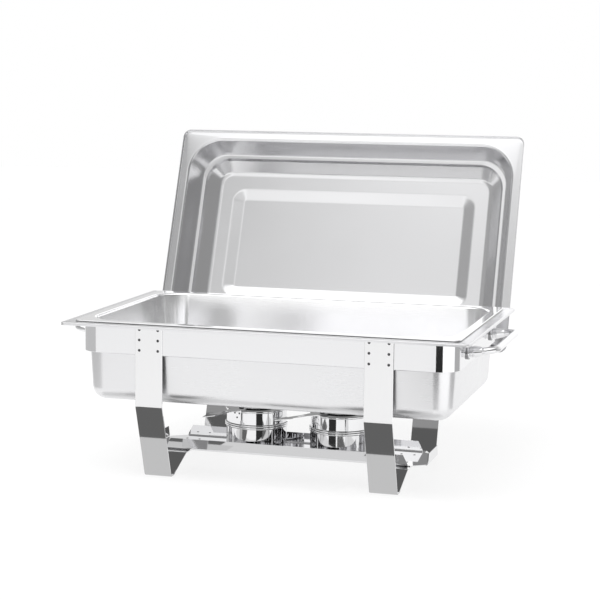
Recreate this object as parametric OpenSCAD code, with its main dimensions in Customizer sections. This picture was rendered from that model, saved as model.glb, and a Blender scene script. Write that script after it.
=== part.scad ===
// Full-size chafing dish: a steel strip frame carries a water pan and a food pan over
// two gel burners, and the lift-off lid stands on edge in two holders at the back.
// Millimetres. The floor is z = 0, the front is -Y, and the frame's middle is x = 0.
// Every node is shifted by frame_y, so that the whole set is centred on the origin.

/* [Food pan] */
// Rim length, along X
food_len = 530; // [522:1:534]
// Rim width, along Y
food_wid = 325; // [318:1:329]
// Depth below the rim
food_depth = 65; // [40:1:85]
// Corner radius of the wall
food_corner = 42; // [30:1:55]

/* [Water pan] */
// Rim length, along X
water_len = 558; // [550:1:566]
// Rim width, along Y
water_wid = 352; // [346:1:360]
// Height of the rim's top face above the floor
rim_z = 215; // [212:1:235]
// Depth below the rim
water_depth = 109; // [90:1:109]
// Half length of the wall, outside, just under the rim
water_half_x = 255.8; // [255:0.1:256]
// Half width of the wall, outside, just under the rim
water_half_y = 152.2; // [151.5:0.1:152.4]
// Corner radius of the wall
water_corner = 28; // [22:1:34]

/* [Frame] */
// Half length of the band, outside
band_half_x = 260; // [260:0.5:264]
// Half width of the band, outside
band_half_y = 156; // [156:0.5:160]
// Height of the band
band_h = 41; // [34:1:48]
// Corner radius of the band, outside
band_corner = 27; // [14:1:30]
// Thickness of the band and of the leg strips
strip_t = 2; // [1.5:0.1:2.5]
// Width of a leg strip
leg_w = 38.5; // [34:0.5:44]
// Distance of each leg's middle from the frame's middle
leg_x = 158.5; // [150:0.5:165]
// Height at which a leg bends inwards
knee_z = 103.5; // [90:0.5:110]
// Distance of a foot's outer corner from the middle
foot_y = 121; // [112:1:130]
// Flat run of a foot along the floor
foot_run = 11; // [8:0.5:14]
// Height of the bridge between the feet, at the middle of the strip
bridge_z = 21; // [18:0.5:22]
// Distance from the middle at which the bridge starts
bridge_y = 60; // [54:1:68]

/* [Burner tray] */
// Length of the side flanges, along X
tray_len = 348; // [340:1:356]
// Width over the side flanges
tray_wid = 94; // [94:1:100]
// Length over the end flanges
tray_full_len = 397; // [392:1:402]
// Height of the flanges above the tray's underside
tray_flange_h = 15.5; // [12:0.5:18]
// Thickness of the sheet
tray_t = 1.2; // [1:0.1:1.5]

/* [Handles] */
// Distance between a handle's two mounting points
handle_span = 168; // [150:1:176]
// Height of the bar's middle above its mounting face
handle_rise = 37.5; // [36:0.5:42]
// Radius of the bar
bar_r = 4.75; // [4:0.05:5]
// Radius of the bar's bends
bar_bend = 17; // [15:0.5:18]
// Height of the side handles' mounting points above the floor
handle_z = 190.5; // [186:0.5:196]
// Upward tilt of the side handles, in degrees
handle_tilt = 6; // [0:0.5:8]

/* [Lid] */
// Length of the lid, along X
lid_len = 538; // [536:1:542]
// Width of the lid from its front edge to its back edge
lid_wid = 330; // [329:1:334]
// Width of the flat edge
lid_edge = 15.3; // [13:0.1:17]
// Height of the steep wall
lid_wall_h = 35; // [28:1:40]
// Height of the dome at its raised panel
lid_top = 53; // [48:1:58]
// Height of the raised panel's step
panel_step = 4; // [2:0.5:5]
// Width of the margin around the raised panel
panel_margin = 73; // [70:1:80]
// Lean of the standing lid from upright, in degrees
lid_lean = 21.8; // [20:0.2:23]
// Distance of the standing lid's lower edge behind the frame's middle
lid_foot_y = 168; // [166:0.1:171]
// Height of the standing lid's lower edge
lid_foot_z = 149.5; // [148:0.5:156]

/* [Burners] */
// Radius of a burner cup
cup_r = 43; // [41:0.5:43]
// Height of a burner cup
cup_h = 36; // [32:0.5:38]
// Height of the ring lid above its cup
ring_h = 22.5; // [18:0.5:23]
// Radius of the opening in the ring lid
mouth_r = 25; // [20:1:26]
// Left burner's place along X
burner_left_x = -56; // [-62:1:-50]
// Right burner's place along X
burner_right_x = 67; // [60:1:72]
// Left regulator's direction, in degrees from +X
regulator_left_a = 248; // [236:1:256]
// Right regulator's direction, in degrees from +X
regulator_right_a = 235; // [225:1:250]
// Reach of a regulator's handle from its burner's middle
regulator_reach = 117; // [100:1:120]

/* [Hidden] */

// smoothness of curved faces and number of steps in a bend
$fn = 72;
bend_steps = 6;
curve_steps = 8;

// pans and lid are pressed from this sheet
sheet = 0.8;
// gap left between pieces that rest on each other and come apart
rest_gap = 0.1;

// water pan
water_floor_z = rim_z - water_depth;
water_taper = 6;
water_floor_r = 18;
water_rim_r = 5;
water_lip = 4;

// food pan
food_half_x = 251.5;
food_half_y = 149;
food_taper = 6;
food_floor_r = 14;
food_rim_r = 8;
food_lip = 2.2;
food_rim_z = rim_z + rest_gap + food_lip;
food_floor_z = food_rim_z - food_depth;

// frame
band_z = rim_z - sheet - rest_gap - band_h;
knee_r = 12;
foot_r = 5;
bridge_r = 9;
leg_y = band_half_y + strip_t / 2;
leg_top_z = band_z + band_h - 1;

// welds
weld_r = 1.9;
weld_h = 0.35;
weld_dx = 13.2;
weld_dz = 14;
weld_mid_z = band_z + band_h / 2;

// burner tray
tray_z = bridge_z + strip_t / 2;
tray_floor = tray_z + tray_t;
tray_tab_wid = 62;
tray_flange_cut = 7;
tab_flange_cut = 4;

// handles
washer_r = 10;
washer_t = 1.4;
ferrule_r = 8.4;
ferrule_neck_r = 7.2;
ferrule_tip_r = 5.6;
ferrule_h = 18.5;
stud_r = 2.5;
stud_len = 9.5;
stud_head_r = 4;
stud_head_t = 0.8;
stud_gap = 0.05;
bar_seat = 10;

// lid
lid_outer_r = 12;
lid_lip = 3.5;
lid_opening_r = 50;
lid_cx = lid_len / 2 - lid_edge - lid_opening_r;
lid_cy = lid_wid / 2 - lid_edge - lid_opening_r;
lid_wall_run = 12.4;
lid_ledge = 5.8;
lid_step_run = 2.5;
lid_step_h = 4.5;
panel_r = 10;
lid_y = lid_foot_y + lid_wid / 2 * sin(lid_lean);
lid_z = lid_foot_z + lid_wid / 2 * cos(lid_lean);
lid_face_z = lid_top + panel_step + sheet;

// lid holders
holder_x = 100;
holder_w = 25;
holder_t = 1.5;
holder_gap = 0.6;
holder_bend = 3;
holder_top_z = rim_z - 9;

// burners
burner_y = 2.5;
cup_t = 0.8;
cup_z = tray_floor + rest_gap;
cup_top_z = cup_z + cup_h;
bead_r = 44.8;
bead_h = 2.6;
ring_r = cup_r - 0.4;
ring_skirt = 6;
ring_skirt_gap = 0.35;
ring_z = cup_top_z + rest_gap;
ring_top_z = ring_z + ring_h;
bracket_t = 0.9;
bracket_w = 14;
bracket_drop = 14;
pivot_at = 34;
pivot_r = 2;
pivot_gap = 0.06;
pivot_head_r = 4;
pivot_head_t = 1.2;
regulator_t = 1;
regulator_gap = 0.1;
regulator_z = ring_top_z + bracket_t + regulator_gap;
regulator_disc_r = 29;

// the set's depth runs from the water pan's front rim to the bar of the lid's handle
rear_y = lid_y + (lid_face_z + handle_rise) * cos(lid_lean) + bar_r;
frame_y = (water_wid / 2 - rear_y) / 2;

// ---- helpers ----

function arc_pts(c, r, a0, a1, n = curve_steps) =
    [for (i = [0 : n]) let (a = a0 + (a1 - a0) * i / n) c + r * [cos(a), sin(a)]];

function backwards(pts) = [for (i = [len(pts) - 1 : -1 : 0]) pts[i]];

// one bend of radius r at b, on the way from a to c
function bend_pts(a, b, c, r) =
    let (u = (a - b) / norm(a - b),
         v = (c - b) / norm(c - b),
         half = acos(u * v) / 2,
         start = b + u * r / tan(half),
         centre = b + (u + v) / norm(u + v) * r / sin(half),
         a0 = atan2(start.y - centre.y, start.x - centre.x),
         turn = (180 - 2 * half) * sign(cross(b - a, c - b)))
    arc_pts(centre, r, a0, a0 + turn, bend_steps);

function bent(pts, radii) =
    concat([pts[0]],
        [for (i = [1 : len(pts) - 2]) each bend_pts(pts[i - 1], pts[i], pts[i + 1], radii[i - 1])],
        [pts[len(pts) - 1]]);

function edge_normal(a, b) = [a.y - b.y, b.x - a.x] / norm(b - a);

// a path's parallel line at a distance, with mitred corners
function parallel(path, off) =
    let (last = len(path) - 1)
    [for (i = [0 : last])
        let (m = edge_normal(path[max(i - 1, 0)], path[max(i, 1)]),
             n = edge_normal(path[min(i, last - 1)], path[min(i + 1, last)]))
        path[i] + off * (m + n) / (1 + m * n)];

// a bent strip whose side view is a path in Y and Z
module bent_strip(path, t, w) {
    rotate([90, 0, 90])
        linear_extrude(w, center = true)
            polygon(concat(parallel(path, t / 2), backwards(parallel(path, -t / 2))));
}

module rounded(len, wid, r) {
    square([len - 2 * r, wid], center = true);
    square([len, wid - 2 * r], center = true);
    for (sx = [-1, 1], sy = [-1, 1])
        translate([sx * (len / 2 - r), sy * (wid / 2 - r)]) circle(r);
}

module ring_plate(len, wid, r, open_len, open_wid, open_r, h) {
    linear_extrude(h)
        difference() {
            rounded(len, wid, r);
            rounded(open_len, open_wid, open_r);
        }
}

// a pressed wall: the profile runs round a rectangle of corner centres
module pressed_wall(profile, cx, cy) {
    for (q = [0 : 3]) {
        along_x = q % 2 == 1;
        rotate([0, 0, 90 * q]) {
            translate([along_x ? cy : cx, along_x ? cx : cy, 0])
                rotate_extrude(angle = 90) polygon(profile);
            translate([along_x ? cy : cx, 0, 0])
                rotate([90, 0, 0])
                    linear_extrude(2 * (along_x ? cx : cy), center = true) polygon(profile);
        }
    }
}

// side view of a pan's wall and floor, from its corner centre outwards
function pan_profile(r, z_top, z_floor, taper, floor_r) =
    let (c = [r - taper - floor_r, z_floor + floor_r])
    concat([[r, z_top]],
        arc_pts(c, floor_r, 0, -90),
        [[0, z_floor], [0, z_floor + sheet]],
        arc_pts(c, floor_r - sheet, -90, 0),
        [[r - sheet, z_top]]);

module pan(half_x, half_y, corner, z_top, z_floor, taper, floor_r) {
    cx = half_x - corner;
    cy = half_y - corner;
    pressed_wall(pan_profile(corner, z_top, z_floor, taper, floor_r), cx, cy);
    translate([-cx, -cy, z_floor]) cube([2 * cx, 2 * cy, sheet]);
}

// a flat rim with its edge turned down
module pan_rim(len, wid, r, lip, half_x, half_y, corner) {
    translate([0, 0, -sheet])
        ring_plate(len, wid, r, 2 * (half_x - sheet), 2 * (half_y - sheet), corner - sheet, sheet);
    translate([0, 0, -lip])
        ring_plate(len, wid, r, len - 2 * sheet, wid - 2 * sheet, r - sheet, lip);
}

module in_frame() {
    translate([0, frame_y, 0]) children();
}

// ---- frame ----

module frame_band() {
    color("silver")
        in_frame()
            translate([0, 0, band_z])
                ring_plate(2 * band_half_x, 2 * band_half_y, band_corner,
                    2 * (band_half_x - strip_t), 2 * (band_half_y - strip_t),
                    band_corner - strip_t, band_h);
}

// half of a leg strip's side view, from the top of the leg to its bridge
leg_half = [[-leg_y, leg_top_z], [-leg_y, knee_z], [-foot_y, strip_t / 2],
    [-foot_y + foot_run, strip_t / 2], [-bridge_y, bridge_z]];
leg_radii = [knee_r, foot_r, foot_r, bridge_r];
leg_path = bent(
    concat(leg_half, backwards([for (p = leg_half) [-p.x, p.y]])),
    concat(leg_radii, backwards(leg_radii)));

module leg_strip(side) {
    color("gainsboro")
        in_frame()
            translate([side * leg_x, 0, 0]) bent_strip(leg_path, strip_t, leg_w);
}

module leg_strip_left() leg_strip(-1);
module leg_strip_right() leg_strip(1);

module weld() {
    cylinder(h = weld_h, r1 = weld_r, r2 = weld_r * 0.6);
}

module spot_welds() {
    color("dimgray")
        in_frame() {
            for (side = [-1, 1], face = [-1, 1], dx = [-1, 1], row = [-1 : 1])
                translate([side * leg_x + dx * weld_dx, face * (band_half_y + strip_t),
                        weld_mid_z + row * weld_dz])
                    rotate([-90 * face, 0, 0]) weld();
            for (side = [-1, 1], dx = [-1, 1], row = [0, 1])
                translate([side * holder_x + dx * holder_w / 4, band_half_y + holder_t,
                        holder_top_z - 8 - row * weld_dz])
                    rotate([-90, 0, 0]) weld();
            for (side = [-1, 1], dx = [-1, 1], dy = [-1, 1])
                translate([side * leg_x + dx * weld_dx * 0.7, dy * tray_wid / 4, tray_floor])
                    weld();
        }
}

// ---- burner tray ----

module tray_outline() {
    square([tray_len, tray_wid], center = true);
    for (s = [-1, 1]) {
        tip = s * tray_full_len / 2;
        root = s * tray_len / 2;
        polygon([[root, -tray_wid / 2], [(root + tip) / 2, -tray_tab_wid / 2 - 4],
            [tip, -tray_tab_wid / 2], [tip, tray_tab_wid / 2],
            [(root + tip) / 2, tray_tab_wid / 2 + 4], [root, tray_wid / 2]]);
    }
}

// a flange plate standing on a line, with its top corners cut off
module cut_flange(len, h, cut) {
    rotate([90, 0, 0])
        linear_extrude(tray_t)
            polygon([[-len / 2, 0], [len / 2, 0], [len / 2, h / 3], [len / 2 - cut, h],
                [-len / 2 + cut, h], [-len / 2, h / 3]]);
}

module burner_tray() {
    color("gainsboro")
        in_frame()
            translate([0, 0, tray_z]) {
                linear_extrude(tray_t) tray_outline();
                for (s = [0, 180])
                    rotate([0, 0, s]) {
                        translate([0, -tray_wid / 2 + tray_t, 0])
                            cut_flange(tray_len, tray_flange_h, tray_flange_cut);
                        translate([tray_full_len / 2 - tray_t, 0, 0])
                            rotate([0, 0, 90])
                                cut_flange(tray_tab_wid, tray_flange_h, tab_flange_cut);
                    }
            }
}

// ---- handles: local +Z leaves the mounting face, the bar lies along X, tilt leans to +Y ----

module tilted(tilt) {
    translate([0, 0, washer_t]) rotate([-tilt, 0, 0]) children();
}

module handle_feet() {
    for (s = [-1, 1]) translate([s * handle_span / 2, 0, 0]) children();
}

module handle_bar(tilt) {
    rise = handle_rise - washer_t;
    tilted(tilt)
        for (s = [0, 1])
            mirror([s, 0, 0]) {
                translate([handle_span / 2, 0, bar_seat])
                    cylinder(h = rise - bar_bend - bar_seat, r = bar_r);
                translate([handle_span / 2 - bar_bend, 0, rise - bar_bend])
                    rotate([90, 0, 0]) rotate_extrude(angle = 90) translate([bar_bend, 0]) circle(bar_r);
                translate([0, 0, rise])
                    rotate([0, 90, 0]) cylinder(h = handle_span / 2 - bar_bend, r = bar_r);
            }
}

module handle_ferrules(tilt) {
    tilted(tilt)
        handle_feet()
            rotate_extrude()
                polygon([[stud_r + stud_gap, 0], [ferrule_r, 0], [ferrule_r, 2.2], [ferrule_neck_r, 2.8],
                    [ferrule_neck_r, 3.6], [ferrule_r, 4.2], [ferrule_r, 5.8], [ferrule_neck_r, 6.4],
                    [ferrule_neck_r, 7.2], [ferrule_r * 0.93, 7.8], [ferrule_r * 0.93, 8.6],
                    [ferrule_tip_r, ferrule_h], [bar_r + stud_gap, ferrule_h],
                    [bar_r + stud_gap, bar_seat], [stud_r + stud_gap, bar_seat]]);
}

module handle_washers(tilt) {
    difference() {
        handle_feet()
            difference() {
                cylinder(h = 2 * washer_t, r = washer_r);
                translate([0, 0, -1]) cylinder(h = 4 * washer_t, r = stud_head_r + 0.2);
            }
        tilted(tilt)
            translate([-handle_span, -2 * washer_r, 0])
                cube([2 * handle_span, 4 * washer_r, 4 * washer_r]);
    }
}

module handle_studs(tilt) {
    handle_feet() {
        cylinder(h = stud_head_t, r = stud_head_r);
        translate([0, 0, stud_head_t / 2]) cylinder(h = washer_t, r = stud_r * 0.9);
    }
    tilted(tilt) handle_feet() cylinder(h = stud_len, r = stud_r);
}

module on_side(side) {
    in_frame()
        translate([side * band_half_x, 0, handle_z])
            rotate([90, 0, side * 90]) children();
}

module side_handle_left() {
    color("whitesmoke") on_side(-1) handle_bar(handle_tilt);
}

module side_handle_right() {
    color("whitesmoke") on_side(1) handle_bar(handle_tilt);
}

module side_handle_ferrules() {
    color("lightgray") for (side = [-1, 1]) on_side(side) handle_ferrules(handle_tilt);
}

module side_handle_washers() {
    color("gray") for (side = [-1, 1]) on_side(side) handle_washers(handle_tilt);
}

module side_handle_studs() {
    color("darkgray") for (side = [-1, 1]) on_side(side) handle_studs(handle_tilt);
}

// ---- pans ----

module water_pan() {
    color("silver")
        in_frame() {
            pan(water_half_x, water_half_y, water_corner, rim_z - sheet / 2, water_floor_z,
                water_taper, water_floor_r);
            translate([0, 0, rim_z])
                pan_rim(water_len, water_wid, water_rim_r, water_lip,
                    water_half_x, water_half_y, water_corner);
        }
}

module food_pan() {
    color("whitesmoke")
        in_frame() {
            pan(food_half_x, food_half_y, food_corner, food_rim_z - sheet / 2, food_floor_z,
                food_taper, food_floor_r);
            translate([0, 0, food_rim_z])
                pan_rim(food_len, food_wid, food_rim_r, food_lip,
                    food_half_x, food_half_y, food_corner);
        }
}

// ---- lid: modelled closed, on its flat edge, then stood up behind the pans ----

// a point of the lid's own Y and Z, in the frame's Y and Z
function lid_pt(y, z) =
    [lid_y - y * sin(lid_lean) + z * cos(lid_lean), lid_z - y * cos(lid_lean) - z * sin(lid_lean)];

module standing() {
    in_frame() translate([0, lid_y, lid_z]) rotate([-90 - lid_lean, 0, 0]) children();
}

// the lid's wall from its flat edge up over the ledge and the slope of the dome
lid_line = let (r = lid_opening_r, foot = r - lid_wall_run, step = foot - lid_ledge)
    [[r, 0], [foot, lid_wall_h], [step, lid_wall_h], [step - lid_step_run, lid_wall_h + lid_step_h],
        [0, lid_top]];

module lid_shell() {
    panel_len = lid_len - 2 * panel_margin;
    panel_wid = lid_wid - 2 * panel_margin;
    color("silver")
        standing() {
            ring_plate(lid_len, lid_wid, lid_outer_r, 2 * (lid_cx + lid_opening_r),
                2 * (lid_cy + lid_opening_r), lid_opening_r, sheet);
            translate([0, 0, -lid_lip])
                ring_plate(lid_len, lid_wid, lid_outer_r, lid_len - 2 * sheet,
                    lid_wid - 2 * sheet, lid_outer_r - sheet, lid_lip + sheet);
            pressed_wall(
                concat(lid_line, backwards([for (p = parallel(lid_line, -sheet)) [max(p.x, 0), p.y]])),
                lid_cx, lid_cy);
            translate([0, 0, lid_top])
                ring_plate(2 * (lid_cx + sheet), 2 * (lid_cy + sheet), sheet, panel_len, panel_wid,
                    panel_r, sheet);
            translate([0, 0, lid_top])
                ring_plate(panel_len + 2 * sheet, panel_wid + 2 * sheet, panel_r + sheet,
                    panel_len, panel_wid, panel_r, panel_step + sheet);
            translate([0, 0, lid_top + panel_step])
                linear_extrude(sheet) rounded(panel_len + sheet, panel_wid + sheet, panel_r);
        }
}

module on_lid() {
    standing() translate([0, 0, lid_face_z]) children();
}

module lid_handle() {
    color("whitesmoke") on_lid() handle_bar(0);
}

module lid_handle_ferrules() {
    color("lightgray") on_lid() handle_ferrules(0);
}

module lid_handle_washers() {
    color("gray") on_lid() handle_washers(0);
}

module lid_handle_studs() {
    color("darkgray") on_lid() handle_studs(0);
}

// ---- lid holders: down the band's back face, under the lid's edge and up behind its ledge ----

module lid_holder(side) {
    y = band_half_y + holder_t / 2;
    shelf = lid_wid / 2 + holder_gap + holder_t / 2;
    back = lid_wall_h + sheet + holder_gap + holder_t / 2;
    root = (y - lid_y + shelf * sin(lid_lean)) / cos(lid_lean);
    path = bent(
        [[y, holder_top_z], lid_pt(shelf, root), lid_pt(shelf, back),
            lid_pt(lid_wid / 2 - lid_edge - lid_wall_run - lid_ledge / 2, back)],
        [holder_bend, holder_bend]);
    color("gainsboro")
        in_frame() translate([side * holder_x, 0, 0]) bent_strip(path, holder_t, holder_w);
}

module lid_holder_left() lid_holder(-1);
module lid_holder_right() lid_holder(1);

// ---- burners ----

module at_burner(x) {
    in_frame() translate([x, burner_y, 0]) children();
}

module burner_cup(x) {
    color("lightgray")
        at_burner(x)
            translate([0, 0, cup_z])
                rotate_extrude()
                    polygon([[0, 0], [cup_r - 1.5, 0], [cup_r, 1.5], [cup_r, cup_h - bead_h],
                        [bead_r - 0.6, cup_h - bead_h], [bead_r, cup_h - bead_h / 2],
                        [bead_r - 0.6, cup_h], [cup_r - cup_t, cup_h], [cup_r - cup_t, cup_t],
                        [0, cup_t]]);
}

module burner_cup_left() burner_cup(burner_left_x);
module burner_cup_right() burner_cup(burner_right_x);

module burner_ring(x, a) {
    skirt_r = cup_r - cup_t - ring_skirt_gap;
    color("gainsboro")
        at_burner(x)
            difference() {
                translate([0, 0, ring_z])
                    rotate_extrude()
                        polygon([[skirt_r, -ring_skirt], [skirt_r, 0], [bead_r - 0.5, 0], [bead_r, 0.8],
                            [bead_r - 0.5, 1.8], [ring_r, 2.2], [ring_r, ring_h - 1], [ring_r - 1, ring_h],
                            [mouth_r, ring_h], [mouth_r, ring_h - cup_t], [ring_r - cup_t, ring_h - cup_t],
                            [skirt_r - cup_t, 0], [skirt_r - cup_t, -ring_skirt]]);
                rotate([0, 0, a])
                    translate([pivot_at, 0, ring_top_z - 5]) cylinder(h = 10, r = pivot_r + pivot_gap);
            }
}

module burner_ring_left() burner_ring(burner_left_x, regulator_left_a);
module burner_ring_right() burner_ring(burner_right_x, regulator_right_a);

// an angle bracket: its top leg lies on the ring lid, its long leg hangs down the side
module regulator_bracket(x, a) {
    top_from = pivot_at - 7;
    face = ring_r + regulator_gap;
    color("gainsboro")
        at_burner(x)
            rotate([0, 0, a])
                difference() {
                    union() {
                        translate([top_from, -bracket_w / 2, ring_top_z])
                            cube([face + bracket_t - top_from, bracket_w, bracket_t]);
                        translate([face, -bracket_w / 2, ring_top_z - bracket_drop])
                            cube([bracket_t, bracket_w, bracket_drop + bracket_t]);
                    }
                    translate([pivot_at, 0, ring_top_z - 5]) cylinder(h = 10, r = pivot_r + pivot_gap);
                }
}

module regulator_bracket_left() regulator_bracket(burner_left_x, regulator_left_a);
module regulator_bracket_right() regulator_bracket(burner_right_x, regulator_right_a);

// round rivet heads on the bracket's long leg, at places across and down
module bracket_heads(x, a, places, r) {
    color("dimgray")
        at_burner(x)
            rotate([0, 0, a])
                for (p = places)
                    translate([ring_r + regulator_gap + bracket_t, p.x, ring_top_z - p.y])
                        rotate([0, 90, 0]) cylinder(h = 0.8, r1 = r, r2 = r * 0.7);
}

module bracket_rivets_left() {
    bracket_heads(burner_left_x, regulator_left_a, [[-4, 4], [4, 4], [0, 10]], 1.3);
}

module bracket_rivet_right() {
    bracket_heads(burner_right_x, regulator_right_a, [[0, 7.5]], 4.6);
}

module regulator_pivot(x, a) {
    color("dimgray")
        at_burner(x)
            rotate([0, 0, a])
                translate([pivot_at, 0, 0]) {
                    translate([0, 0, ring_top_z - cup_t - pivot_head_t])
                        cylinder(h = pivot_head_t, r = pivot_head_r * 0.8);
                    translate([0, 0, ring_top_z - cup_t - pivot_head_t / 2])
                        cylinder(h = regulator_z + regulator_t + regulator_gap + pivot_head_t
                            - ring_top_z + cup_t, r = pivot_r);
                    translate([0, 0, regulator_z + regulator_t + regulator_gap])
                        cylinder(h = pivot_head_t, r1 = pivot_head_r, r2 = pivot_head_r * 0.7);
                }
}

module regulator_pivot_left() regulator_pivot(burner_left_x, regulator_left_a);
module regulator_pivot_right() regulator_pivot(burner_right_x, regulator_right_a);

// the swinging cover: a disc over the mouth, a flat arm with a slot, and a pointed grip
module regulator_outline() {
    neck = 5;
    grip = regulator_reach - 26;
    difference() {
        union() {
            circle(regulator_disc_r);
            polygon([[0, -8], [cup_r + 8, -8], [cup_r + 24, -neck], [grip, -neck], [grip, -8],
                [grip + 8, -7], [regulator_reach, 0], [grip + 8, 7], [grip, 8], [grip, neck],
                [cup_r + 24, neck], [cup_r + 8, 8], [0, 8]]);
        }
        translate([pivot_at, 0]) circle(pivot_r + pivot_gap);
        translate([cup_r + 28, 0]) square([10, 3.2], center = true);
        for (s = [-1, 1]) translate([cup_r + 28 + s * 5, 0]) circle(1.6);
    }
}

module regulator(x, a) {
    color("whitesmoke")
        at_burner(x)
            translate([0, 0, regulator_z])
                rotate([0, 0, a]) linear_extrude(regulator_t) regulator_outline();
}

module regulator_left() regulator(burner_left_x, regulator_left_a);
module regulator_right() regulator(burner_right_x, regulator_right_a);

frame_band();
leg_strip_left();
leg_strip_right();
spot_welds();
burner_tray();
side_handle_left();
side_handle_right();
side_handle_ferrules();
side_handle_washers();
side_handle_studs();
lid_holder_left();
lid_holder_right();
water_pan();
food_pan();
lid_shell();
lid_handle();
lid_handle_ferrules();
lid_handle_washers();
lid_handle_studs();
burner_cup_left();
burner_cup_right();
burner_ring_left();
burner_ring_right();
regulator_bracket_left();
regulator_bracket_right();
bracket_rivets_left();
bracket_rivet_right();
regulator_pivot_left();
regulator_pivot_right();
regulator_left();
regulator_right();
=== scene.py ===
"""Looks for the full-size chafing dish: pressed steel pans and lid, strip frame, polished burners."""
import math
import bpy
import bmesh
from mathutils import Matrix, Vector


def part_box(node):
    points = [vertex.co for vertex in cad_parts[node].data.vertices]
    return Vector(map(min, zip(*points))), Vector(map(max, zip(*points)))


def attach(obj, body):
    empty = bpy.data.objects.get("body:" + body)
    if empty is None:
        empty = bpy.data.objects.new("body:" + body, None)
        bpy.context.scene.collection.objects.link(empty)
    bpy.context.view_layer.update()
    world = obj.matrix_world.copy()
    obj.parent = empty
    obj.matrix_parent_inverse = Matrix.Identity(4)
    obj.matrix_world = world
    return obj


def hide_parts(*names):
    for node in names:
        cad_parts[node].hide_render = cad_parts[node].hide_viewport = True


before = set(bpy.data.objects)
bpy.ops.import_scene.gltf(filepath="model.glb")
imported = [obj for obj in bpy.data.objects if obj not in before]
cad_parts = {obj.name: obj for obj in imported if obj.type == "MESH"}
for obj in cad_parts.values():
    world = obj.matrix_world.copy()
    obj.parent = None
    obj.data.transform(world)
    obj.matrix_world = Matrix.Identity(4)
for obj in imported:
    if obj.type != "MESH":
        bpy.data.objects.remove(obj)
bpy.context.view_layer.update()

MM = 0.001
SHEET = 0.8          # thickness of the pans and the lid, mm
HOLD = 0.35          # flat kept beside each bend, so its shading stays inside the bend, mm
MERGE = 0.004        # points closer than this are one, mm
SHARP = math.radians(32)

band_low, band_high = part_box("frame_band")
MIDDLE_Y = (band_low[1] + band_high[1]) / 2 / MM
LEAN = math.radians(21.8)
LID_WID = 330
LID_Y = 168 + LID_WID / 2 * math.sin(LEAN)
LID_Z = 149.5 + LID_WID / 2 * math.cos(LEAN)
RIM_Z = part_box("water_pan")[1][2] / MM
FOOD_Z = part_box("food_pan")[1][2] / MM

UPRIGHT = Matrix.Translation((0, MIDDLE_Y, 0))
STANDING = Matrix.Translation((0, MIDDLE_Y + LID_Y, LID_Z)) @ Matrix.Rotation(-math.pi / 2 - LEAN, 4, "X")


# ---- bends and sheets ----

def bend(points, radii, steps=6):
    """A section's corner points, each corner rounded to its radius, with a flat held beside each bend."""
    path = [Vector(points[0])]
    for a, b, c, r in zip(points, points[1:], points[2:], radii):
        a, b, c = Vector(a), Vector(b), Vector(c)
        u, v = (a - b).normalized(), (c - b).normalized()
        half = math.acos(max(-1, min(1, u.dot(v)))) / 2
        centre = b + (u + v).normalized() * r / math.sin(half)
        start = b + u * r / math.tan(half) - centre
        stop = b + v * r / math.tan(half) - centre
        turn = start.angle_signed(stop)
        path.append(centre + start + u * HOLD)
        for k in range(steps + 1):
            path.append(centre + Matrix.Rotation(-turn * k / steps, 2) @ start)
        path.append(centre + stop + v * HOLD)
    path.append(Vector(points[-1]))
    return path


def beside(path, off):
    """The parallel line of a section, on its left by off."""
    line = []
    for k, p in enumerate(path):
        before = (p - path[k - 1]).normalized() if k else (path[1] - p).normalized()
        after = (path[k + 1] - p).normalized() if k < len(path) - 1 else before
        m, n = Vector((-before.y, before.x)), Vector((-after.y, after.x))
        line.append(p + (m + n) * off / (1 + m.dot(n)))
    return line


def moved_on(bm, made, step):
    """Shifts what an extrude made and returns its new edges."""
    verts = {g for g in made if isinstance(g, bmesh.types.BMVert)}
    bmesh.ops.translate(bm, verts=list(verts), vec=step)
    return [g for g in made if isinstance(g, bmesh.types.BMEdge) and set(g.verts) <= verts]


def sweep_round(bm, points, cx, cy, steps=14, closed=False):
    """Carries a section round a rectangle of corner centres, side by side and corner by corner."""
    verts = [bm.verts.new((cx + p[0], -cy, p[1])) for p in points]
    pairs = list(zip(verts, verts[1:])) + ([(verts[-1], verts[0])] if closed else [])
    edges = [bm.edges.new(pair) for pair in pairs]
    sides = [((0, 1), 2 * cy, (cx, cy)), ((-1, 0), 2 * cx, (-cx, cy)),
             ((0, -1), 2 * cy, (-cx, -cy)), ((1, 0), 2 * cx, (cx, -cy))]
    for (dx, dy), length, corner in sides:
        for part in (HOLD, length - 2 * HOLD, HOLD):
            made = bmesh.ops.extrude_edge_only(bm, edges=edges)["geom"]
            edges = moved_on(bm, made, (dx * part, dy * part, 0))
        last = list({v for e in edges for v in e.verts})
        made = bmesh.ops.spin(bm, geom=last + edges, cent=(*corner, 0), axis=(0, 0, 1),
                              angle=math.pi / 2, steps=steps)["geom_last"]
        edges = [g for g in made if isinstance(g, bmesh.types.BMEdge)]
    bmesh.ops.remove_doubles(bm, verts=bm.verts[:], dist=MERGE)


def open_edges(bm, z, known=()):
    """The free edges that lie at one height, apart from those known before."""
    return [e for e in bm.edges if e.is_boundary and e not in known
            and all(abs(v.co.z - z) < 0.01 for v in e.verts)]


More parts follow.
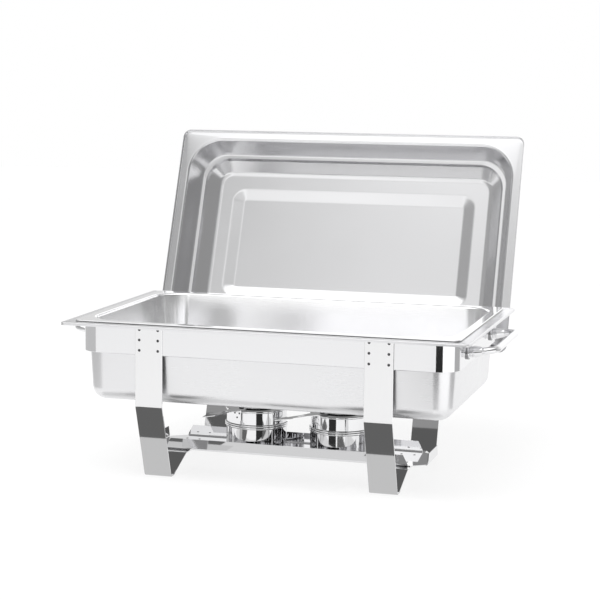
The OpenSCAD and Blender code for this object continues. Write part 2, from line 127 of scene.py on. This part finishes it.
def pressing(name, edge, edge_mid, walls, place):
    """A pressed pan or lid: a turned edge, its walls joined one to the next, and a closed floor."""
    bm, loose = bmesh.new(), []
    for section, mid in [(edge, edge_mid)] + walls:
        part = bmesh.new()
        sweep_round(part, section, *mid)
        spare = bpy.data.meshes.new(name)
        part.to_mesh(spare)
        part.free()
        known = set(bm.edges)
        bm.from_mesh(spare)
        bpy.data.meshes.remove(spare)
        if loose:
            bmesh.ops.bridge_loops(bm, edges=loose + open_edges(bm, section[0][1], known))
        loose = open_edges(bm, section[-1][1], known)
    bmesh.ops.contextual_create(bm, geom=loose)
    bmesh.ops.remove_doubles(bm, verts=bm.verts[:], dist=MERGE)
    bmesh.ops.recalc_face_normals(bm, faces=bm.faces[:])
    rim = max(bm.faces, key=lambda f: f.calc_area() * (abs(f.calc_center_median().z - edge[-1][1]) < 0.2))
    if rim.normal.z < 0:
        bmesh.ops.reverse_faces(bm, faces=bm.faces[:])
    return finish_piece(name, bm, place, thick=SHEET)


def strip(name, path, width, thick, place):
    """A flat bar or sheet bent along a section in Y and Z, width wide along X."""
    bm = bmesh.new()
    verts = [bm.verts.new((-width / 2, p[0], p[1])) for p in beside(path, thick / 2)]
    edges = [bm.edges.new(pair) for pair in zip(verts, verts[1:])]
    moved_on(bm, bmesh.ops.extrude_edge_only(bm, edges=edges)["geom"], (width, 0, 0))
    bmesh.ops.recalc_face_normals(bm, faces=bm.faces[:])
    first = min(bm.faces, key=lambda f: (f.calc_center_median() - verts[0].co).length)
    left = beside(path, thick / 2)[0] - path[0]
    if first.normal.dot(Vector((0, left.x, left.y))) < 0:
        bmesh.ops.reverse_faces(bm, faces=bm.faces[:])
    return finish_piece(name, bm, place, thick=thick, chamfer=0.3)


def turned(name, outline, place, steps=96):
    """A closed outline of (radius, height) spun round the upright axis."""
    bm = bmesh.new()
    verts = [bm.verts.new((r, 0, z)) for r, z in outline]
    edges = [bm.edges.new(pair) for pair in zip(verts, verts[1:] + verts[:1])]
    bmesh.ops.spin(bm, geom=verts + edges, cent=(0, 0, 0), axis=(0, 0, 1), angle=2 * math.pi,
                   steps=steps, use_merge=True)
    return finish_piece(name, bm, place)


def finish_piece(name, bm, place, thick=0.0, chamfer=0.0):
    """Thickens a sheet behind its face, breaks its sharp edges and makes it an object at the origin."""
    bmesh.ops.remove_doubles(bm, verts=bm.verts[:], dist=MERGE)
    if thick:
        bmesh.ops.solidify(bm, geom=bm.faces[:], thickness=thick)
    bmesh.ops.recalc_face_normals(bm, faces=bm.faces[:])
    if chamfer:
        sharp = [e for e in bm.edges if e.is_manifold and e.calc_face_angle() > math.radians(60)]
        bmesh.ops.bevel(bm, geom=sharp, offset=chamfer, segments=1, profile=0.5, affect="EDGES",
                        material=-1, clamp_overlap=True)
    bmesh.ops.transform(bm, matrix=Matrix.Scale(MM, 4) @ place, verts=bm.verts[:])
    mesh = bpy.data.meshes.new(name)
    bm.to_mesh(mesh)
    bm.free()
    mesh.polygons.foreach_set("use_smooth", [True] * len(mesh.polygons))
    mesh.set_sharp_from_angle(angle=SHARP)
    piece = bpy.data.objects.new(name, mesh)
    bpy.context.collection.objects.link(piece)
    return piece


def belongs(piece, body, slot, material, *nodes):
    """Puts a piece on the body it rides on, gives it its finish and hides the plain shapes it stands for; slot
    is not used.
    """
    piece.data.materials.clear()
    piece.data.materials.append(material)
    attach(piece, body)
    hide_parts(*nodes)


# ---- finishes ----

def metal(name, tone, rough, grain=(1, 1, 1), rub=0.06, depth=0.0, grain_size=1500.0):
    """Bare steel whose grain runs along the direction that is stretched in grain."""
    mat = bpy.data.materials.new(name)
    mat.use_nodes = True
    nodes, links = mat.node_tree.nodes, mat.node_tree.links
    shader = nodes["Principled BSDF"]
    shader.inputs["Metallic"].default_value = 1.0
    place = nodes.new("ShaderNodeTexCoord")
    stretch = nodes.new("ShaderNodeMapping")
    stretch.inputs["Scale"].default_value = grain
    links.new(place.outputs["Object"], stretch.inputs["Vector"])
    lines = nodes.new("ShaderNodeTexNoise")
    lines.inputs["Scale"].default_value = grain_size
    lines.inputs["Detail"].default_value = 3.0
    links.new(stretch.outputs["Vector"], lines.inputs["Vector"])
    cloud = nodes.new("ShaderNodeTexNoise")
    cloud.inputs["Scale"].default_value = 9.0
    cloud.inputs["Detail"].default_value = 2.0
    links.new(place.outputs["Object"], cloud.inputs["Vector"])
    mix = nodes.new("ShaderNodeMath")
    mix.operation = "ADD"
    links.new(lines.outputs["Fac"], mix.inputs[0])
    links.new(cloud.outputs["Fac"], mix.inputs[1])
    roughness = nodes.new("ShaderNodeMapRange")
    roughness.inputs["From Min"].default_value = 0.7
    roughness.inputs["From Max"].default_value = 1.3
    roughness.inputs["To Min"].default_value = max(rough - rub, 0.015)
    roughness.inputs["To Max"].default_value = rough + rub
    links.new(mix.outputs[0], roughness.inputs["Value"])
    links.new(roughness.outputs["Result"], shader.inputs["Roughness"])
    shade = nodes.new("ShaderNodeMapRange")
    shade.inputs["To Min"].default_value = 0.985
    shade.inputs["To Max"].default_value = 1.015
    links.new(lines.outputs["Fac"], shade.inputs["Value"])
    colour = nodes.new("ShaderNodeVectorMath")
    colour.operation = "SCALE"
    colour.inputs[0].default_value = tone
    links.new(shade.outputs["Result"], colour.inputs["Scale"])
    links.new(colour.outputs["Vector"], shader.inputs["Base Color"])
    if depth:
        bump = nodes.new("ShaderNodeBump")
        bump.inputs["Strength"].default_value = depth
        bump.inputs["Distance"].default_value = 0.0001
        links.new(lines.outputs["Fac"], bump.inputs["Height"])
        links.new(bump.outputs["Normal"], shader.inputs["Normal"])
    return mat


ALONG_X = (0.02, 1, 1)
ALONG_Z = (1, 1, 0.02)
BARELY_Z = (1, 1, 0.1)
satin = metal("satin sheet", (0.80, 0.80, 0.81), 0.29, ALONG_X, rub=0.03, depth=0.003)
lid_satin = metal("lid sheet", (0.80, 0.80, 0.81), 0.19, ALONG_X, rub=0.02)
pan_bright = metal("bright pan", (0.93, 0.93, 0.935), 0.16, ALONG_X, rub=0.03, depth=0.006)
strip_mirror = metal("bright strip", (0.81, 0.81, 0.815), 0.05, ALONG_Z, rub=0.02)
band_mirror = metal("bright band", (0.80, 0.80, 0.81), 0.07, ALONG_X, rub=0.02, depth=0.006)
tray_mirror = metal("bright tray", (0.82, 0.82, 0.83), 0.04, ALONG_X, rub=0.02)
burner_mirror = metal("bright burner", (0.83, 0.83, 0.84), 0.05, BARELY_Z, rub=0.025)
handle_chrome = metal("chrome bar", (0.84, 0.84, 0.85), 0.07, rub=0.03)
weld_dark = metal("dark weld", (0.10, 0.10, 0.105), 0.42, rub=0.1)
stud_dull = metal("dull stud", (0.35, 0.35, 0.36), 0.35, rub=0.1)
washer_steel = metal("washer steel", (0.30, 0.30, 0.305), 0.22, rub=0.05)

CARRIED = {
    "frame_band": band_mirror, "leg_strip_left": strip_mirror, "leg_strip_right": strip_mirror,
    "spot_welds": weld_dark, "burner_tray": tray_mirror, "side_handle_left": handle_chrome,
    "side_handle_right": handle_chrome, "side_handle_ferrules": handle_chrome,
    "side_handle_washers": washer_steel, "side_handle_studs": stud_dull,
    "lid_holder_left": strip_mirror, "lid_holder_right": strip_mirror, "lid_handle": handle_chrome,
    "lid_handle_ferrules": handle_chrome, "lid_handle_washers": washer_steel,
    "lid_handle_studs": stud_dull, "burner_cup_left": burner_mirror, "burner_cup_right": burner_mirror,
    "burner_ring_left": burner_mirror, "burner_ring_right": burner_mirror,
    "regulator_bracket_left": burner_mirror, "regulator_bracket_right": burner_mirror,
    "bracket_rivets_left": weld_dark, "bracket_rivet_right": burner_mirror,
    "regulator_pivot_left": stud_dull, "regulator_pivot_right": stud_dull,
    "regulator_left": burner_mirror, "regulator_right": burner_mirror,
    "water_pan": satin, "food_pan": pan_bright, "lid_shell": lid_satin,
}
for node, material in CARRIED.items():
    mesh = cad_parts[node].data
    mesh.materials.clear()
    mesh.materials.append(material)


# ---- pressed pieces ----

def turned_edge(r, z, lip, roll, flat=6, fall=0.0):
    """From the free end of the turned-down edge, up and over on to the rim, which may fall inwards."""
    return bend([(r, z - lip), (r, z), (r - flat, z - flat * fall)], [roll])


WATER_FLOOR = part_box("water_pan")[0][2] / MM + SHEET
water_wall = bend([(35, RIM_Z), (27.2, RIM_Z), (21.2, WATER_FLOOR), (0, WATER_FLOOR)], [5, 17.2], 10)
water_pan = pressing("water_pan_sheet", turned_edge(5, RIM_Z, 4, 1.6), (274, 171),
                     [(water_wall, (227.8, 124.2))], UPRIGHT)
belongs(water_pan, "water_pan", "satin_steel", satin, "water_pan")

FOOD_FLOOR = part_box("food_pan")[0][2] / MM + SHEET
food_wall = bend([(47, FOOD_Z), (41.2, FOOD_Z), (35.2, FOOD_FLOOR), (0, FOOD_FLOOR)], [4.5, 13.2], 10)
food_pan = pressing("food_pan_sheet", turned_edge(8, FOOD_Z, 1.6, 1.0, 5), (257, 154.5),
                    [(food_wall, (209.5, 107))], UPRIGHT)
belongs(food_pan, "food_pan", "polished_steel", pan_bright, "food_pan")

FLANGE_FALL = math.tan(math.radians(3))
FLANGE_TOP = SHEET + 14.45 * FLANGE_FALL
LEDGE_Z, DOME_Z, PANEL_Z = 35 + SHEET, 53.8, 57.3
lid_wall = bend([(55.3, FLANGE_TOP - 10 * FLANGE_FALL), (50.85, SHEET), (38.45, LEDGE_Z), (33, LEDGE_Z)],
                [3.2, 3.4], 8)
lid_dome = bend([(39.4, LEDGE_Z), (36.6, 40.2), (19.2, DOME_Z), (14, DOME_Z)], [2.4, 14], 10)
lid_panel = bend([(26, DOME_Z), (20, DOME_Z), (4, PANEL_Z), (1, PANEL_Z)], [24, 20], 8)
lid_edge = turned_edge(12, FLANGE_TOP, 3.5 + FLANGE_TOP, 2.0, fall=FLANGE_FALL)
lid_cover = pressing("lid_cover", lid_edge, (257, 153),
                     [(lid_wall, (203.7, 99.7)), (lid_dome, (197, 93)), (lid_panel, (172, 67))], STANDING)
belongs(lid_cover, "lid", "satin_steel", lid_satin, "lid_shell")

# ---- frame ----

BAND_LOW, BAND_TOP = band_low[2] / MM, band_high[2] / MM
band_bm = bmesh.new()
sweep_round(band_bm, [(25, BAND_LOW + 0.3), (25.3, BAND_LOW), (26.5, BAND_LOW), (27, BAND_LOW + 0.5),
                      (27, BAND_TOP - 0.5), (26.5, BAND_TOP), (25.3, BAND_TOP), (25, BAND_TOP - 0.3)],
            233, 129, closed=True, steps=20)
band = finish_piece("frame_band_bar", band_bm, UPRIGHT)
belongs(band, "frame", "satin_steel", band_mirror, "frame_band")

STRIP_WIDTH, STRIP_THICK = 38.5, 2
leg_half = [(-157, BAND_TOP - 1), (-157, 103.5), (-121, 1), (-110, 1), (-60, 21)]
leg_whole = leg_half + [(-y, z) for y, z in leg_half[::-1]]
leg_path = bend(leg_whole, [12, 5, 5, 9, 9, 5, 5, 12], 10)
for side, x in (("left", -158.5), ("right", 158.5)):
    leg = strip("leg_bar_" + side, leg_path, STRIP_WIDTH, STRIP_THICK, UPRIGHT @ Matrix.Translation((x, 0, 0)))
    belongs(leg, "frame", "strip_steel", strip_mirror, "leg_strip_" + side)


TRAY_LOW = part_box("burner_tray")[0][2] / MM
TRAY_THICK = 1.2
TRAY_MID = TRAY_THICK / 2


def burner_tray():
    """One sheet: a long floor with a flange down each side, and at each end a narrowing tab turned up."""
    bm = bmesh.new()
    section = bend([(46.4, 15.5), (46.4, TRAY_MID), (-46.4, TRAY_MID), (-46.4, 15.5)], [1.8, 1.8], 5)
    verts = [bm.verts.new((-174, *p)) for p in section]
    edges = [bm.edges.new(pair) for pair in zip(verts, verts[1:])]
    moved_on(bm, bmesh.ops.extrude_edge_only(bm, edges=edges)["geom"], (348, 0, 0))
    for v in bm.verts:
        if v.co.z > 10:
            v.co.x -= math.copysign(6.5, v.co.x)
    ends = [e for e in bm.edges if e.is_boundary and e.calc_length() > 60
            and abs(e.verts[0].co.x - e.verts[1].co.x) < 1]
    turn_up = bend([(174, TRAY_MID), (197.9, TRAY_MID), (197.9, 15.5)], [1.8], 5)
    for end in ends:
        side = math.copysign(1, end.verts[0].co.x)
        edges, at = [end], Vector((174, TRAY_MID))
        steps = [(Vector((177, TRAY_MID)), 44.4), (Vector((191, TRAY_MID)), 35)]
        steps += [(p, 31 if p.x < 197.8 or p.y < 4 else 27.5) for p in turn_up[1:]]
        for p, half in steps:
            edges = moved_on(bm, bmesh.ops.extrude_edge_only(bm, edges=edges)["geom"],
                             (side * (p.x - at.x), 0, p.y - at.y))
            for v in {v for e in edges for v in e.verts}:
                v.co.y = math.copysign(half, v.co.y)
            at = p
    bmesh.ops.recalc_face_normals(bm, faces=bm.faces[:])
    if max(bm.faces, key=lambda f: f.calc_area()).normal.z < 0:
        bmesh.ops.reverse_faces(bm, faces=bm.faces[:])
    bmesh.ops.translate(bm, verts=bm.verts[:], vec=(0, 0, TRAY_MID))
    return finish_piece("burner_tray_sheet", bm, UPRIGHT @ Matrix.Translation((0, 0, TRAY_LOW)),
                        thick=TRAY_THICK)


belongs(burner_tray(), "frame", "polished_steel", tray_mirror, "burner_tray")

CUP_LOW, CUP_TOP = (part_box("burner_cup_left")[k][2] / MM for k in (0, 1))
RING_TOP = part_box("burner_ring_left")[1][2] / MM
cup_outline = bend([(0, CUP_LOW), (43, CUP_LOW), (43, CUP_TOP - 3.4), (44.8, CUP_TOP - 2.9), (44.8, CUP_TOP),
                    (42.2, CUP_TOP), (42.2, CUP_LOW + SHEET), (0, CUP_LOW + SHEET)],
                   [1.8, 0.3, 1.0, 1.0, 0.3, 1.0], 4)
ring_low = CUP_TOP + 0.1
ring_outline = bend([(40.25, ring_low - 6), (41.05, ring_low - 6), (41.05, ring_low), (44.8, ring_low),
                     (44.8, ring_low + 2.4), (42.6, ring_low + 2.7), (42.6, RING_TOP - 2.9),
                     (43.9, RING_TOP - 2.5), (43.9, RING_TOP), (25, RING_TOP), (25, RING_TOP - SHEET),
                     (41.8, RING_TOP - SHEET), (41.8, ring_low + 1), (40.25, ring_low - 0.5)],
                    [0.1, 0.3, 0.9, 0.8, 0.3, 0.3, 0.9, 1.0, 0.3, 0.3, 0.8, 0.3], 4)
for side in ("left", "right"):
    low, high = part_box("burner_cup_" + side)
    at = Matrix.Translation(((low[0] + high[0]) / 2 / MM, (low[1] + high[1]) / 2 / MM, 0))
    cup = turned("burner_cup_bowl_" + side, cup_outline, at)
    belongs(cup, "burner_" + side, "polished_steel", burner_mirror, "burner_cup_" + side)
    ring = turned("burner_ring_lid_" + side, ring_outline, at)
    belongs(ring, "burner_top_" + side, "polished_steel", burner_mirror, "burner_ring_" + side)


# ---- stage ----

# brightness of the room by height: 0 is level or below, 1 is straight up, by the sine of the angle
BY_HEIGHT = [(0.0, 1.3), (0.48, 1.3), (0.53, 1.15), (0.562, 1.12), (0.587, 0.72), (0.611, 0.92),
             (0.64, 1.2), (0.8, 1.7), (1.0, 1.8)]
# brightness by direction, in degrees turned from the right-hand end: the lower room, the upper room
LOW_ROUND = [(-180, 0.3), (-150, 0.35), (-119, 0.36), (-113, 0.58), (-108, 0.86), (-103, 0.98),
             (-97, 0.6), (-80, 0.6), (-62, 0.3), (-50, 0.25), (0, 0.25), (12, 0.4), (56, 0.8),
             (95, 0.95), (105, 0.9), (110, 0.58), (150, 0.4), (180, 0.3)]
HIGH_ROUND = [(-180, 0.9), (-150, 1.0), (-30, 1.0), (40, 0.5), (70, 0.2), (150, 0.2), (180, 0.9)]


def studio():
    """White behind the set; the steel sees a room whose brightness goes by height and by direction."""
    world = bpy.data.worlds.new("studio")
    bpy.context.scene.world = world
    world.use_nodes = True
    nodes, links = world.node_tree.nodes, world.node_tree.links
    nodes.clear()
    out = nodes.new("ShaderNodeOutputWorld")
    seen = nodes.new("ShaderNodeBackground")
    seen.inputs["Color"].default_value = (1, 1, 1, 1)
    room = nodes.new("ShaderNodeBackground")
    switch = nodes.new("ShaderNodeMixShader")
    ray = nodes.new("ShaderNodeLightPath")
    links.new(ray.outputs["Is Camera Ray"], switch.inputs["Fac"])
    links.new(room.outputs[0], switch.inputs[1])
    links.new(seen.outputs[0], switch.inputs[2])
    links.new(switch.outputs[0], out.inputs["Surface"])
    way = nodes.new("ShaderNodeTexCoord")
    split = nodes.new("ShaderNodeSeparateXYZ")
    links.new(way.outputs["Generated"], split.inputs[0])
    height = nodes.new("ShaderNodeValToRGB")
    links.new(split.outputs["Z"], height.inputs["Fac"])
    fill_ramp(height, BY_HEIGHT)
    turn = nodes.new("ShaderNodeMath")
    turn.operation = "ARCTAN2"
    links.new(split.outputs["Y"], turn.inputs[0])
    links.new(split.outputs["X"], turn.inputs[1])
    around = nodes.new("ShaderNodeMapRange")
    around.inputs["From Min"].default_value = -math.pi
    around.inputs["From Max"].default_value = math.pi
    links.new(turn.outputs[0], around.inputs["Value"])
    sides = nodes.new("ShaderNodeValToRGB")
    links.new(around.outputs["Result"], sides.inputs["Fac"])
    fill_ramp(sides, [((a + 180) / 360, v) for a, v in LOW_ROUND])
    upper = nodes.new("ShaderNodeValToRGB")
    links.new(around.outputs["Result"], upper.inputs["Fac"])
    fill_ramp(upper, [((a + 180) / 360, v) for a, v in HIGH_ROUND])
    low = nodes.new("ShaderNodeMapRange")
    low.inputs["From Min"].default_value = 0.62
    low.inputs["From Max"].default_value = 0.68
    links.new(split.outputs["Z"], low.inputs["Value"])
    both = nodes.new("ShaderNodeMix")
    both.data_type = "RGBA"
    links.new(low.outputs["Result"], both.inputs["Factor"])
    links.new(sides.outputs["Color"], both.inputs["A"])
    links.new(upper.outputs["Color"], both.inputs["B"])
    total = nodes.new("ShaderNodeVectorMath")
    total.operation = "MULTIPLY"
    links.new(height.outputs["Color"], total.inputs[0])
    links.new(both.outputs["Result"], total.inputs[1])
    links.new(total.outputs["Vector"], room.inputs["Color"])


def fill_ramp(node, stops):
    """Sets a ramp to grey values, each at its position."""
    ramp = node.color_ramp
    while len(ramp.elements) < len(stops):
        ramp.elements.new(0.5)
    for element, (position, value) in zip(ramp.elements, stops):
        element.position = position
        element.color = (value, value, value, 1)


def pale_floor():
    """A wide pale floor that glows a little, so it stays even under the set."""
    bm = bmesh.new()
    bmesh.ops.create_grid(bm, x_segments=1, y_segments=1, size=6)
    mesh = bpy.data.meshes.new("pale_floor")
    bm.to_mesh(mesh)
    bm.free()
    floor = bpy.data.objects.new("pale_floor", mesh)
    bpy.context.collection.objects.link(floor)
    mat = bpy.data.materials.new("pale floor")
    mat.use_nodes = True
    shader = mat.node_tree.nodes["Principled BSDF"]
    shader.inputs["Base Color"].default_value = (0.2, 0.2, 0.2, 1)
    shader.inputs["Roughness"].default_value = 0.6
    shader.inputs["Specular IOR Level"].default_value = 0.1
    shader.inputs["Emission Color"].default_value = (1, 1, 1, 1)
    shader.inputs["Emission Strength"].default_value = 0.78
    mesh.materials.append(mat)


def card(name, size, place, turn, tone, one_sided=False):
    """A plain card that only shows in the steel; a one-sided card is clear from behind."""
    bm = bmesh.new()
    bmesh.ops.create_grid(bm, x_segments=1, y_segments=1, size=0.5)
    bmesh.ops.scale(bm, vec=(size[0], size[1], 1), verts=bm.verts[:])
    bmesh.ops.transform(bm, matrix=Matrix.Translation(place) @ turn, verts=bm.verts[:])
    mesh = bpy.data.meshes.new(name)
    bm.to_mesh(mesh)
    bm.free()
    piece = bpy.data.objects.new(name, mesh)
    bpy.context.collection.objects.link(piece)
    mat = bpy.data.materials.new(name)
    mat.use_nodes = True
    mat.node_tree.nodes.clear()
    out = mat.node_tree.nodes.new("ShaderNodeOutputMaterial")
    glow = mat.node_tree.nodes.new("ShaderNodeEmission")
    glow.inputs["Color"].default_value = (tone, tone, tone, 1)
    if one_sided:
        side = mat.node_tree.nodes.new("ShaderNodeNewGeometry")
        clear = mat.node_tree.nodes.new("ShaderNodeBsdfTransparent")
        pick = mat.node_tree.nodes.new("ShaderNodeMixShader")
        mat.node_tree.links.new(side.outputs["Backfacing"], pick.inputs["Fac"])
        mat.node_tree.links.new(glow.outputs[0], pick.inputs[1])
        mat.node_tree.links.new(clear.outputs[0], pick.inputs[2])
        mat.node_tree.links.new(pick.outputs[0], out.inputs["Surface"])
    else:
        mat.node_tree.links.new(glow.outputs[0], out.inputs["Surface"])
    mesh.materials.append(mat)
    piece.visible_camera = False
    piece.visible_diffuse = False
    piece.visible_shadow = False
    piece.visible_transmission = False


def standing_card(name, start, end, low, high, tone):
    """A card on edge between two points of the floor."""
    a, b = Vector((*start, 0)), Vector((*end, 0))
    along = (b - a).normalized()
    turn = Matrix([along, (0, 0, 1), along.cross(Vector((0, 0, 1)))]).transposed().to_4x4()
    middle = (a + b) / 2 + Vector((0, MIDDLE_Y * MM, (low + high) / 2))
    card(name, ((b - a).length, high - low), middle, turn, tone)


def area_light(name, size, place, target, power):
    """A soft lamp aimed at a point, which doesn't show in the steel."""
    data = bpy.data.lights.new(name, "AREA")
    data.shape = "RECTANGLE"
    data.size, data.size_y = size
    data.energy = power
    light = bpy.data.objects.new(name, data)
    light.location = place
    light.rotation_euler = (Vector(target) - Vector(place)).to_track_quat("-Z", "Y").to_euler()
    bpy.context.collection.objects.link(light)
    light.visible_glossy = False


def camera():
    """A long lens, low in front and to the right of the set."""
    data = bpy.data.cameras.new("camera")
    data.lens = 108.0
    data.sensor_width = 36
    data.shift_x = 0.0410
    data.shift_y = -0.0577
    cam = bpy.data.objects.new("camera", data)
    right, up = (0.95630, 0.29225, 0.00857), (-0.04204, 0.10844, 0.99321)
    ahead = (-0.28934, 0.95017, -0.11598)
    turn = Matrix([right, up, [-v for v in ahead]]).transposed().to_4x4()
    cam.matrix_world = Matrix.Translation((0.6968, -2.3865 + MIDDLE_Y * MM, 0.5744)) @ turn
    bpy.context.collection.objects.link(cam)
    bpy.context.scene.camera = cam


studio()
pale_floor()
# The grey cards near the set, the pair by the burners and the wide one in front, only show in the steel: the
# table's own light grey with painted shade of the set on it, darker than the floor the camera sees.
for side, x in (("left", -0.190), ("right", 0.128)):
    card("table_dark_" + side, (0.10, 0.110), (x, MIDDLE_Y * MM - 0.242, 0.0008), Matrix(), 0.14)
    card("table_grey_and_shade_" + side, (0.10, 0.090), (x + 0.02, MIDDLE_Y * MM - 0.142, 0.0008), Matrix(), 0.64)
card("table_front", (0.60, 0.105), (0, MIDDLE_Y * MM - 0.1775, 0.0004), Matrix(), 0.76)
face_down = Matrix.Rotation(math.pi, 4, "X")
card("shade_front", (0.46, 0.150), (0, MIDDLE_Y * MM - 0.070, 0.1035), face_down, 0.12, one_sided=True)
card("shade_back", (0.46, 0.160), (0, MIDDLE_Y * MM + 0.085, 0.1035), face_down, 0.33, one_sided=True)
standing_card("corner_dark", (0.150, -0.617), (0.452, -0.591), 0, 0.150, 0.03)
standing_card("corner_white", (0.452, -0.591), (0.740, -0.080), 0, 0.150, 1.35)
standing_card("corner_grey", (0.740, -0.080), (0.530, 0.290), 0, 0.150, 0.5)
standing_card("burner_dark", (-0.013, -0.160), (0.064, -0.160), 0.013, 0.070, 0.03)
standing_card("left_grey", (-0.46, -0.50), (-0.75, 0.30), 0, 0.20, 0.62)
area_light("overhead", (1.6, 1.2), (-0.3, -0.5, 2.0), (0, 0, 0.1), 22)
camera()
bpy.context.scene.view_settings.view_transform = "Standard"
